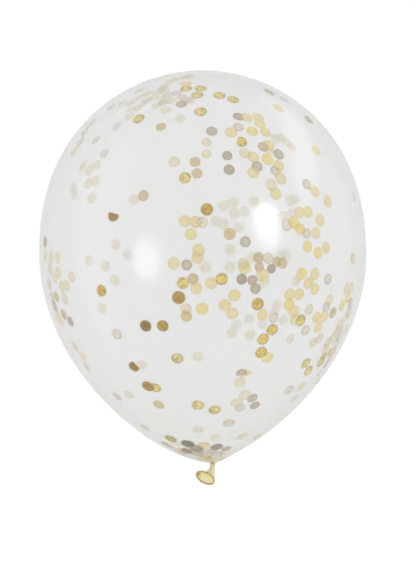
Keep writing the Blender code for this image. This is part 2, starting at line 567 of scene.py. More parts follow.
@dataclass(frozen=True)
class ConfettiFinish:
    """Punched foil or paper whose colour runs with each disc's own tone."""

    name: str
    colours: tuple[Colour, ...]
    edge_colour: Colour
    edging: Rise
    metal: float
    roughness: float
    fullness: float
    mottle_and_sheen: float
    grain_scale: float = 700.0
    grain_strength: float = 0.15
    grain_depth: float = 0.0002
    grain_low: float = 0.3
    grain_high: float = 0.7
    dulling: float = 0.12

    def material(self) -> Material:
        """Builds the finish.

        Returns:
            The material.
        """
        finish, bench, shader = new_finish(self.name)
        stops = {order / (len(self.colours) - 1): colour for order, colour in enumerate(self.colours)}
        paint = bench.ramp(bench.mark(TONE_NAME), stops)
        edged = bench.blend(bench.rise(bench.mark(RIM_NAME), self.edging), paint, self.edge_colour)
        grain = bench.noise(bench.place(), self.grain_scale)
        # The mottle is grain on the tissue papers; on the gold foil it paints a broad sheen.
        shading = Rise(self.grain_low, self.grain_high, 1.0 - self.mottle_and_sheen, 1.0 + self.mottle_and_sheen)
        dulling = Rise(self.grain_low, self.grain_high, self.roughness, self.roughness + self.dulling)
        bench.fill(shader, {
            "Base Color": bench.stretch(edged, bench.rise(grain, shading)), "Metallic": self.metal,
            "Roughness": bench.rise(grain, dulling), "Alpha": self.fullness,
            "Normal": bench.bump(grain, self.grain_strength, self.grain_depth),
        })
        return finish


@dataclass
class TurnedSkin:
    """One closed skin of the body, turned from its outline and laid on the floor."""

    form: BodyForm
    name: str
    material: Material
    inset: float = 0.0
    faces_in: bool = False
    sides: int = 160
    rings: int = 150
    pleats: int = 15
    pleat_depth: float = 0.05
    pleating: Rise = Rise(0.955, 1.0)
    sway_waves: float = 3.0
    sway_reach: float = 1.7
    neck_mark: Rise = Rise(0.90, 1.0)
    lower_mark: Rise = Rise(0.35, 1.0, 0.0, 0.16)
    # Painted shade: the lining is darkened towards the crown.
    crown_shade_mark: Rise = Rise(0.78, 1.0, 0.0, 0.12)
    weld: float = 0.000002

    def build(self) -> Object:
        """Grows the skin's mesh in Geometry Nodes.

        Returns:
            The skin, closed at the crown and the neck.
        """
        form, laying = self.form, self.form.laying()
        domes: dict[str, float] = {}
        for end, dome in (("Crown", form.crown), ("Neck", form.neck)):
            domes |= {f"{end} Length": dome.length - self.inset, f"{end} Power": dome.power}
            domes |= {f"{end} Rounding": dome.rounding}
        skin = GrownMesh(self.name, domes | {
            "Belly Radius": form.belly_width / 2 - self.inset, "Sidestep": form.neck_sidestep,
            "Sidestep Power": form.sidestep_power, "Pleats": self.pleats, "Pleat Depth": self.pleat_depth,
            "Sides": self.sides, "Rings": self.rings, "Floor": self.inset, "Faces In": self.faces_in,
            "Place": laying.to_translation(), "Turn": Vector(laying.to_euler()), "Finish": self.material,
        })
        bench, size = skin.bench, skin.size
        sheet = bench.get("GeometryNodeMeshGrid", {
            "Size X": 1.0, "Vertices X": size("Sides") + 1.0,
            "Size Y": 1.0, "Vertices Y": size("Rings") + 1.0,
        })
        around, upward, _ = bench.split(bench.get("GeometryNodeInputPosition"))
        angle, climb = around * math.tau, (upward * math.pi).step("SINE")
        above, below = climb.step("GREATER_THAN", 0.0), (climb * -1.0).step("MAXIMUM", 0.0)

        def either(label: str) -> Term:
            """The crown's size above the belly plane and the neck's below it."""
            crown, neck = size(f"Crown {label}"), size(f"Neck {label}")
            return above * (crown - neck) + neck

        hollow = climb.step("ABSOLUTE") ** either("Power") * -1.0 + 1.0
        curve = hollow.step("MAXIMUM", 0.0) ** either("Rounding")
        sway = (angle * self.sway_waves).step("SINE") * self.sway_reach
        wave = (angle * size("Pleats") + sway).step("SINE")
        pleat = wave * (bench.rise(below, self.pleating) * size("Pleat Depth")) + 1.0
        radius = size("Belly Radius") * curve * pleat
        pull = size("Sidestep") * below ** size("Sidestep Power")
        height = climb * either("Length")
        spot = bench.join(radius * angle.step("COSINE") + pull, radius * angle.step("SINE"), height)
        # The mark follows the latex thickening towards the neck; near the crown it is painted shade.
        even = bench.rise(below, self.lower_mark) + bench.rise(climb, self.crown_shade_mark)
        thick = bench.rise(below, self.neck_mark).step("MAXIMUM", even)
        marked = bench.store(sheet, THICKNESS_AND_SHADE_NAME, thick)
        turned = bench.get("GeometryNodeSetPosition", {"Geometry": marked, "Position": spot})
        laid = bench.get("GeometryNodeTransform", {
            "Geometry": turned, "Translation": size("Place"), "Rotation": size("Turn"),
        })
        right, ahead, up = bench.split(bench.get("GeometryNodeInputPosition"))
        pressed = bench.join(right, ahead, up.step("MAXIMUM", size("Floor")))
        resting = bench.get("GeometryNodeSetPosition", {"Geometry": laid, "Position": pressed})
        closed = bench.get("GeometryNodeMergeByDistance", {"Geometry": resting, "Distance": self.weld})
        flipped = bench.get("GeometryNodeFlipFaces", {"Mesh": closed, "Selection": size("Faces In")})
        skin.close(bench.get("GeometryNodeSetShadeSmooth", {"Geometry": flipped}), size("Finish"))
        return skin.grow(bpy.data.meshes.new(self.name))


@dataclass(frozen=True)
class Station:
    """One section of the tail's wall."""

    share: float
    radius: float
    mark: float
    step: float = 0.0
    # Painted shade added on one side of the funnel's inside.
    side_shade_gain: float = 0.0


@dataclass
class TailSkin:
    """The tail's outside, its rolled lip and the funnel inside it, as one closed wall."""

    form: TailForm
    body: BodyForm
    material: Material
    sides: int = 96
    thread_part: int = 8
    root_part: int = 3
    run_steps: int = 40
    lip_steps: int = 16
    lip_start: float = math.radians(-75)
    lip_turn: float = math.radians(330)
    wrinkles: int = 5
    wrinkle_depth: Rise = Rise(0.0, 0.75, 0.09, 0.0)
    wrinkle_twist: float = 3.0
    sway_waves: int = 2
    sway_reach: float = 1.1
    hidden_mark: float = 0.5
    root_mark: Rise = Rise(0.0, 0.2, 0.65, 0.15)
    mouth_mark: Rise = Rise(0.80, 1.0, 0.0, 0.6)
    lip_mark: float = 0.9
    throat_shade_mark: Rise = Rise(0.62, 0.92, 0.45, 0.1)
    # Painted shade: the funnel's inside is darker amber on its upper side.
    side_shade_gain: Rise = Rise(0.75, 0.95, 0.0, 1.2)
    shaded_side: tuple[float, float, float] = (-0.5, 0.0, 0.85)

    def stations(self) -> Iterator[Station]:
        """Walks from the root, over the lip and back up the funnel.

        Returns:
            The sections on the way.
        """
        form = self.form
        root, thread = -form.root / form.mouth_drop, form.pinch_width / self.thread_part
        yield Station(root, thread, self.hidden_mark)
        yield Station(root / self.root_part, form.pinch_width / self.root_part, self.hidden_mark)
        for step in range(self.run_steps):
            share = step / self.run_steps
            yield Station(share, form.radius(share), self.root_mark.at(share) + self.mouth_mark.at(share))
        middle, bead = (form.mouth_width + form.wall) / 2, form.lip_bead / 2
        for step in range(self.lip_steps + 1):
            angle = self.lip_start + self.lip_turn * step / self.lip_steps
            yield Station(1.0, middle + bead * math.cos(angle), self.lip_mark, bead * math.sin(angle))
        # Up the funnel the amber deepens towards the throat: the latex thickens there, and shade is painted
        # in the recess.
        for step in range(self.run_steps):
            share = 1 - (1 - form.bore_start) * (step + 1) / self.run_steps
            radius = max(form.radius(share) - form.wall, thread)
            yield Station(share, radius, self.throat_shade_mark.at(share), 0.0, self.side_shade_gain.at(share))

    def build(self) -> Object:
        """Lofts the stations into one closed mesh.

        Returns:
            The tail, in its place on the laid balloon.
        """
        grid = bmesh.new()
        marks = grid.verts.layers.float.new(THICKNESS_AND_SHADE_NAME)
        laying, root, shaded_side = self.body.laying(), self.body.neck_exit(), Vector(self.shaded_side)
        rings = []
        for station in self.stations():
            facing = self.form.direction(station.share)
            section = Vector((0, 0, -1)).rotation_difference(facing).to_matrix()
            middle = root + self.form.centre(station.share) + facing * station.step
            twist, fold = self.wrinkle_twist * station.share, self.wrinkle_depth.at(station.share)
            ring = []
            for side in range(self.sides):
                angle = math.tau * side / self.sides
                sway = self.sway_reach * math.sin(self.sway_waves * angle) + twist
                pinch = 1 + fold * math.sin(self.wrinkles * angle + sway)
                rim = section @ (Vector((math.cos(angle), math.sin(angle), 0)) * station.radius * pinch)
                corner = grid.verts.new(laying @ (middle + rim))
                # The funnel's inner wall on one side gets darker amber: painted shade.
                corner[marks] = station.mark + station.side_shade_gain * max(0.0, rim.normalized() @ shaded_side)
                ring.append(corner)
            rings.append(ring)
        for ring, following in zip(rings, rings[1:]):
            for side in range(self.sides):
                after = (side + 1) % self.sides
                grid.faces.new((ring[side], ring[after], following[after], following[side]))
        for ring in (rings[0], rings[-1]):
            hub = grid.verts.new(sum((corner.co for corner in ring), Vector()) / self.sides)
            hub[marks] = ring[0][marks]
            for side in range(self.sides):
                grid.faces.new((ring[side], ring[(side + 1) % self.sides], hub))
        bmesh.ops.recalc_face_normals(grid, faces=grid.faces)
        for face in grid.faces:
            face.smooth = True
        mesh = bpy.data.meshes.new("tail")
        grid.to_mesh(mesh)
        grid.free()
        mesh.materials.append(self.material)
        return put("tail", mesh)


@dataclass
class BalloonSkin:
    """The whole latex skin: film, lining and tail as one piece."""

    form: BodyForm
    tail: TailForm
    wall: float = 0.00045
    parts: list[Object] = field(default_factory=list)

    def build_film(self) -> Object:
        """Builds the clear outer film, which the confetti is laid against."""
        self.parts.append(TurnedSkin(self.form, "balloon_skin", GlossyFilm().material()).build())
        return self.parts[0]

    def finish(self) -> Object:
        """Adds the lining and the tail, and joins everything into one mesh.

        Returns:
            The finished piece.
        """
        lining = TurnedSkin(self.form, "lining", MilkyLining().material(), inset=self.wall, faces_in=True)
        self.parts += [lining.build(), TailSkin(self.tail, self.form, AmberLatex().material()).build()]
        film = self.parts[0]
        chosen = {"selected_objects": self.parts, "selected_editable_objects": self.parts}
        with bpy.context.temp_override(active_object=film, object=film, **chosen):
            bpy.ops.object.join()
        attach(film, BODY_NAME)
        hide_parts("balloon_body", "balloon_tail")
        return film


@dataclass(frozen=True)
class PhotoCamera:
    """The photograph's camera, found from the balloon's outline."""

    laying: Matrix
    metres_per_pixel: float = 0.0009140
    distance: float = 3.0
    sensor: float = 36.0
    axis_column: float = 203.15
    belly_row: float = 255.3
    roll: float = math.radians(0.65)
    nearest_shown: float = 0.01
    furthest_shown: float = 50.0

    def axes(self) -> tuple[Vector, Vector, Vector]:
        """Turns the balloon's own axes into the camera's.

        Returns:
            Right, up and backward directions of the camera.
        """
        turn = self.laying.to_3x3()
        front, up = turn @ Vector((0, -1, 0)), turn @ Vector((0, 0, 1))
        up = up * math.cos(self.roll) + up.cross(front) * math.sin(self.roll)
        return up.cross(front), up, front

    def aim(self) -> Vector:
        """Finds what the middle of the picture shows.

        Returns:
            That point of the balloon's middle plane.
        """
        step = self.metres_per_pixel
        side, rise = PHOTO_WIDTH / 2 - self.axis_column, self.belly_row - PHOTO_HEIGHT / 2
        return self.laying @ Vector((side * step, 0, rise * step))

    def place(self) -> Vector:
        """Where the camera stands."""
        return self.aim() + self.axes()[2] * self.distance

    def ray(self, spot: Spot) -> Vector:
        """Looks through a pixel of the photograph.

        Args:
            spot: The pixel.

        Returns:
            Direction from the camera through it.
        """
        right, up, _ = self.axes()
        side, rise = spot[0] - PHOTO_WIDTH / 2, PHOTO_HEIGHT / 2 - spot[1]
        return (self.aim() + (right * side + up * rise) * self.metres_per_pixel - self.place()).normalized()

    def set_up(self) -> Object:
        """Makes Blender's camera.

        Returns:
            The camera.
        """
        data = bpy.data.cameras.new("camera")
        data.sensor_width = self.sensor
        data.lens = self.sensor * self.distance / (PHOTO_HEIGHT * self.metres_per_pixel)
        data.clip_start, data.clip_end = self.nearest_shown, self.furthest_shown
        camera = put("camera", data)
        camera.matrix_world = Matrix.Translation(self.place()) @ Matrix(self.axes()).transposed().to_4x4()
        bpy.context.scene.camera = camera
        return camera


class Wall(Enum):
    """Which wall of the balloon a disc clings to, as the photograph's camera sees it."""

    NEAR = "near"
    FAR = "far"


class Paper(Enum):
    """Kinds of confetti: the piece that each belongs to, its tone in that piece's finish, and its size."""

    UMBER = ("gold_confetti", 0.01, 1.12)
    BRONZE = ("gold_confetti", 0.08, 1.12)
    COPPER = ("gold_confetti", 0.21, 1.12)
    DEEP_GOLD = ("gold_confetti", 0.29, 1.12)
    GOLD = ("gold_confetti", 0.49, 1.08)
    LIGHT_GOLD = ("gold_confetti", 0.60, 1.05)
    OLIVE = ("gold_confetti", 0.71, 1.04)
    DARK_OLIVE = ("gold_confetti", 0.97, 1.10)
    BEIGE = ("pale_confetti", 0.04, 1.02)
    YELLOW = ("pale_confetti", 0.38, 1.06)
    FAR_GOLD = ("pale_confetti", 0.50, 1.04)
    PALE_GOLD = ("pale_confetti", 0.60, 1.07)
    CREAM = ("pale_confetti", 0.94, 1.02)
    SMOKE = ("grey_confetti", 0.03, 1.12)
    TAUPE = ("grey_confetti", 0.28, 1.0)
    DUN = ("grey_confetti", 0.40, 0.98)
    MAUVE = ("grey_confetti", 0.50, 0.96)
    GREY = ("grey_confetti", 0.72, 0.96)
    SILVER = ("grey_confetti", 0.96, 0.94)

    def __init__(self, piece: str, tone: float, size: float) -> None:
        """Names the three values."""
        self.piece, self.tone, self.size = piece, tone, size


FINISHES = {
    "gold_confetti": ConfettiFinish(
        "gold foil confetti", (
            (0.24, 0.10, 0.005, 1.0), (0.60, 0.39, 0.03, 1.0), (0.80, 0.61, 0.14, 1.0),
            (0.72, 0.63, 0.27, 1.0), (0.46, 0.40, 0.17, 1.0),
        ), (0.40, 0.34, 0.15, 1.0), Rise(0.5, 0.95, 0.0, 0.5),
        # A broad mottle on the foil paints its sheen.
        metal=0.3, roughness=0.46, fullness=0.78, mottle_and_sheen=0.22, grain_scale=330.0,
    ),
    "pale_confetti": ConfettiFinish(
        "pale tissue confetti", (
            (0.61, 0.47, 0.24, 1.0), (0.90, 0.74, 0.18, 1.0),
            (0.86, 0.74, 0.38, 1.0), (0.83, 0.76, 0.57, 1.0),
        ), (0.66, 0.58, 0.32, 1.0), Rise(0.5, 0.95, 0.0, 0.25),
        metal=0.0, roughness=0.6, fullness=0.42, mottle_and_sheen=0.08,
    ),
    "grey_confetti": ConfettiFinish(
        "grey tissue confetti", (
            (0.13, 0.11, 0.04, 1.0), (0.34, 0.28, 0.17, 1.0), (0.56, 0.47, 0.33, 1.0),
            (0.62, 0.55, 0.40, 1.0), (0.81, 0.75, 0.64, 1.0),
        ), (0.30, 0.25, 0.16, 1.0), Rise(0.5, 0.95, 0.0, 0.3),
        metal=0.0, roughness=0.5, fullness=0.64, mottle_and_sheen=0.10,
    ),
}


@dataclass(frozen=True)
class Drift:
    """Discs of one kind on one wall, at their pixels in the photograph.

    The fold is how far from its middle a disc is folded, in metres: past its rim, it stays flat. The
    fold's side is in degrees from the picture's right, anticlockwise.
    """

    name: str
    paper: Paper
    spots: tuple[Spot, ...]
    size: float = 1.0
    fold: float = 1.0
    fold_side: float | None = None
    wall: Wall = Wall.NEAR


@dataclass(frozen=True)
class Cloud:
    """Discs too many or too faint to tell apart, strewn round a pixel of the photograph.

    The spread is in pixels, along and across a line that leans by some degrees.
    """

    name: str
    wall: Wall
    papers: tuple[Paper, ...]
    centre: Spot
    spread: tuple[float, float]
    lean: float
    count: int
    seed: int

    def drifts(self) -> Iterator[Drift]:
        """Strews the cloud.

        Returns:
            A drift for each disc.
        """
        luck, lean = random.Random(self.seed), math.radians(self.lean)
        for _ in range(self.count):
            along, beside = luck.gauss(0, self.spread[0]), luck.gauss(0, self.spread[1])
            column = self.centre[0] + along * math.cos(lean) - beside * math.sin(lean)
            row = self.centre[1] + along * math.sin(lean) + beside * math.cos(lean)
            yield Drift(self.name, luck.choice(self.papers), ((column, row),), wall=self.wall)


DRIFTS = (
    Drift("dark folded disc", Paper.BRONZE, ((113.4, 215.2),), 1.0, 0.0016, 70),
    Drift("brown folded disc", Paper.BRONZE, ((133.9, 366.8),), 0.94, 0.0037, 50),
    Drift("umber disc", Paper.UMBER, ((145.6, 326.0),), 0.96),
    Drift("copper disc", Paper.COPPER, ((178.6, 297.7),), 1.06),
    Drift("bronze disc", Paper.BRONZE, ((147.8, 386.5),), 0.96),
    Drift("small copper discs", Paper.COPPER, ((162.6, 326.0), (101.3, 290.8)), 0.94),
    Drift("deep golds", Paper.DEEP_GOLD, ((206.9, 209.4), (257.8, 304.2)), 0.94),
    Drift("olive golds", Paper.OLIVE, (
        (138.6, 118.5), (200.6, 88.1), (186.3, 88.3), (197.2, 94.8), (233.3, 99.4), (184.9, 177.8),
        (177.3, 358.5), (155.6, 388.0), (306.0, 363.4), (308.6, 370.8), (321.2, 362.2), (323.0, 358.0),
    )),
    Drift("large olive golds", Paper.OLIVE, (
        (200.6, 111.5), (219.5, 95.2), (197.9, 405.4), (214.6, 410.2),
    ), 1.05),
    Drift("dark olive disc", Paper.DARK_OLIVE, ((170.5, 439.0),)),
    Drift("gold folded disc", Paper.GOLD, ((241.4, 141.6),), 0.96, 0.0037, 168),
    Drift("bright golds", Paper.GOLD, ((221.7, 279.0), (272.4, 329.8), (261.3, 352.6), (263.3, 339.3))),
    Drift("light golds", Paper.LIGHT_GOLD, ((301.0, 320.4), (182.8, 283.2))),
    Drift("yellow discs", Paper.YELLOW, (
        (318.2, 252.9), (293.8, 222.3), (300.3, 229.0), (307.6, 246.4), (289.0, 304.6), (202.2, 308.8),
        (252.4, 131.0), (301.9, 273.8), (267.4, 357.6), (267.4, 159.2),
    )),
    Drift("pale golds", Paper.PALE_GOLD, (
        (184.7, 221.0), (195.8, 221.8), (190.7, 234.2), (198.4, 250.2), (197.5, 257.8), (173.6, 263.4),
        (196.2, 288.2), (211.2, 283.3), (225.0, 305.2), (232.7, 313.5), (234.5, 295.4), (262.6, 315.0),
        (278.3, 107.6), (231.2, 132.4), (246.5, 117.4), (258.3, 117.2), (260.0, 123.6), (265.5, 132.0),
        (268.9, 145.0), (253.4, 172.6), (253.4, 157.0), (278.8, 165.6), (281.0, 178.4), (275.8, 193.8),
        (315.0, 191.4), (327.8, 201.4), (299.8, 212.3), (308.2, 211.8), (316.0, 233.0), (320.2, 220.2),
        (326.2, 247.8), (315.0, 274.2), (308.8, 283.0), (315.0, 289.2), (289.8, 294.6), (299.3, 294.4),
        (294.3, 311.5), (295.4, 319.5), (317.0, 317.6), (318.4, 327.4), (324.5, 316.8), (342.0, 305.8),
        (348.2, 297.0), (316.4, 150.0), (244.8, 267.8),
    )),
    Drift("large pale gold disc", Paper.PALE_GOLD, ((262.6, 275.0),), 1.08),
    Drift("beige discs", Paper.BEIGE, (
        (143.3, 195.7), (186.4, 316.4), (229.6, 233.9), (158.6, 404.8), (333.0, 312.8), (56.2, 296.8),
        (63.4, 314.6),
    )),
    Drift("middling beige discs", Paper.BEIGE, (
        (160.9, 126.7), (258.6, 257.4), (282.6, 263.3), (195.0, 161.8), (192.9, 278.8), (197.0, 173.3),
    ), 0.91),
    Drift("light beige discs", Paper.CREAM, (
        (71.5, 277.0), (66.3, 285.4), (58.2, 272.8), (61.6, 287.0), (271.4, 185.0), (301.8, 386.8),
        (332.2, 351.8), (332.4, 337.9), (61.2, 322.5), (74.5, 346.5), (82.5, 356.5), (325.6, 348.5),
        (330.8, 357.5), (339.8, 324.2), (345.5, 318.0), (346.0, 330.0), (346.6, 289.0), (352.0, 287.0),
        (319.6, 338.6), (175.0, 443.6), (336.8, 331.0), (328.0, 343.0), (57.0, 319.4), (54.6, 277.0),
    )),
    Drift("cream discs", Paper.CREAM, (
        (185.8, 309.0), (202.1, 222.5), (174.2, 161.6), (243.4, 263.6), (309.1, 309.6), (313.2, 342.8),
        (239.8, 382.4), (57.4, 257.8), (64.6, 298.8), (50.6, 257.6), (44.8, 255.5), (57.4, 313.5),
        (268.2, 258.2), (244.6, 152.8), (329.6, 300.2), (73.8, 151.0), (353.2, 258.4), (185.8, 83.0),
    )),
    Drift("small creams", Paper.CREAM, ((206.3, 153.6), (206.5, 142.1)), 0.86),
    Drift("low creams", Paper.CREAM, ((244.6, 395.3), (236.4, 403.0)), 1.08),
    Drift("smoky disc", Paper.SMOKE, ((187.6, 444.0),), 1.04),
    Drift("taupe disc", Paper.TAUPE, ((186.6, 451.2),)),
    Drift("dun discs", Paper.DUN, ((241.9, 279.2), (195.4, 447.4)), 0.95),
    Drift("small beige discs", Paper.BEIGE, ((259.4, 267.2), (276.7, 261.8)), 0.84),
    Drift("small dun disc", Paper.DUN, ((271.4, 268.8),), 0.84),
    Drift("large taupe discs", Paper.TAUPE, ((216.8, 447.2), (196.6, 449.0)), 1.14),
    Drift("far olive disc", Paper.OLIVE, ((203.2, 445.4),), wall=Wall.FAR),
    Drift("pale olive disc", Paper.PALE_GOLD, ((204.3, 446.7),)),
    Drift("low olive disc", Paper.OLIVE, ((206.0, 457.8),), 0.86),
    Drift("small mauve discs", Paper.MAUVE, ((227.4, 155.5), (252.4, 280.3)), 0.92),
    Drift("mauve discs", Paper.MAUVE, (
        (255.6, 288.6), (229.3, 169.6), (238.4, 116.3), (254.9, 405.7), (44.8, 242.0), (226.4, 449.0),
        (70.2, 321.8),
    )),
    Drift("grey folded disc", Paper.GREY, ((241.6, 373.6),), 1.0, 0.0024, -90),
    Drift("its yellow flap", Paper.PALE_GOLD, ((246.4, 375.2),), 1.0, 0.0012, -75),
    Drift("grey discs", Paper.GREY, (
        (186.6, 265.0), (245.4, 241.8), (252.4, 398.4), (181.4, 103.9), (263.2, 146.6), (198.0, 454.4),
        (211.8, 131.0), (278.8, 154.1), (257.2, 166.4), (309.0, 119.6), (269.4, 91.8), (54.4, 306.0),
        (166.0, 444.6),
    )),
    Drift("silver discs", Paper.SILVER, (
        (307.0, 233.5), (328.2, 279.3), (289.2, 390.0), (116.8, 334.4), (49.6, 268.8), (48.8, 284.5),
        (79.8, 141.6), (84.4, 131.2), (306.8, 184.2), (238.3, 126.8), (273.8, 317.8), (349.4, 312.4),
        (326.8, 364.0), (216.0, 454.2), (305.6, 330.4), (275.6, 170.8), (257.5, 437.4), (240.2, 408.0),
        (350.5, 303.0), (326.6, 307.0), (286.9, 225.4), (51.8, 297.0),
    )),
    Drift("large silver disc", Paper.SILVER, ((229.0, 423.2),), 1.12),
    Drift("far top golds", Paper.FAR_GOLD, (
        (275.4, 138.2), (180.4, 118.0), (170.8, 100.4), (165.4, 109.8), (157.0, 105.0), (164.0, 85.0),
        (162.0, 97.0), (178.5, 78.0), (186.0, 83.0), (138.8, 90.5), (145.5, 99.8), (137.8, 107.6),
        (129.5, 116.3), (281.0, 137.3), (286.4, 141.4), (291.8, 146.6), (164.5, 91.0), (190.0, 100.0),
        (147.4, 93.0), (152.4, 98.0), (171.4, 80.4), (269.0, 150.5),
    ), wall=Wall.FAR),
    Drift("far top beiges", Paper.BEIGE, (
        (176.4, 92.6), (182.4, 96.6), (187.0, 99.4), (163.2, 88.0), (163.2, 101.6), (188.0, 76.0),
    ), wall=Wall.FAR),
    Drift("far top creams", Paper.CREAM, (
        (134.4, 100.4), (128.4, 103.6), (122.4, 102.6), (130.6, 109.0), (140.8, 96.0), (157.4, 92.0),
        (142.8, 102.8),
    ), wall=Wall.FAR),
    Drift("far top silvers", Paper.SILVER, (
        (116.3, 126.0), (95.6, 139.6), (104.0, 153.6), (92.2, 122.0), (284.0, 99.0), (111.0, 107.0),
        (168.0, 95.0),
    ), wall=Wall.FAR),
    Drift("far left golds", Paper.FAR_GOLD, (
        (82.4, 165.6), (88.6, 170.0), (96.7, 165.0), (88.1, 182.8), (95.0, 180.6), (91.0, 198.4),
        (133.5, 199.3), (115.2, 244.6), (88.4, 260.6), (105.2, 266.0), (114.6, 280.6), (102.0, 308.4),
    ), wall=Wall.FAR),
    Drift("far left beiges", Paper.BEIGE, (
        (86.4, 367.0), (116.8, 397.0), (144.2, 427.5), (172.6, 448.6),
    ), wall=Wall.FAR),
    Drift("far middle golds", Paper.FAR_GOLD, (
        (223.7, 206.0), (233.3, 202.4), (234.4, 213.3), (254.6, 201.6), (223.6, 224.0), (238.8, 227.6),
        (230.0, 249.3), (252.4, 257.4), (230.3, 267.2), (205.6, 267.4), (264.4, 282.0), (296.4, 281.0),
        (283.4, 216.4), (290.4, 200.6), (353.3, 258.1), (276.6, 305.4), (197.8, 356.8),
    ), wall=Wall.FAR),
    Drift("far middle creams", Paper.CREAM, (
        (216.0, 221.5), (244.4, 211.2), (267.8, 258.2), (292.2, 213.2), (354.4, 196.6), (274.8, 312.6),
        (283.8, 320.0), (249.4, 318.8), (236.8, 324.8), (262.6, 323.6), (296.6, 199.0), (72.6, 187.6),
        (73.8, 194.4), (127.7, 254.6), (286.6, 254.8), (280.4, 255.6),
    ), wall=Wall.FAR),
    Drift("far low golds", Paper.FAR_GOLD, (
        (232.2, 333.0), (250.0, 335.0), (290.8, 339.0), (142.0, 365.0), (128.6, 395.0), (197.7, 430.0),
        (215.0, 437.6), (242.8, 436.7), (294.7, 398.4), (319.0, 374.8), (337.4, 343.0), (333.0, 352.0),
    ), wall=Wall.FAR),
)
CLOUDS = (
    Cloud("lower right rim", Wall.FAR, (Paper.FAR_GOLD, Paper.BEIGE), (335, 340), (3, 18), 28, 8, 15),
    Cloud("bottom heap", Wall.FAR, (Paper.BEIGE, Paper.GREY), (199, 453), (15, 1.6), 4, 10, 19),
)


@dataclass
class Disc:
    """One punched disc: where it clings and how it is turned."""

    drift: Drift
    centre: Vector
    outward: Vector
    turn: float
    tone: float
    scale: float
    curl: float
    layer: int = 0


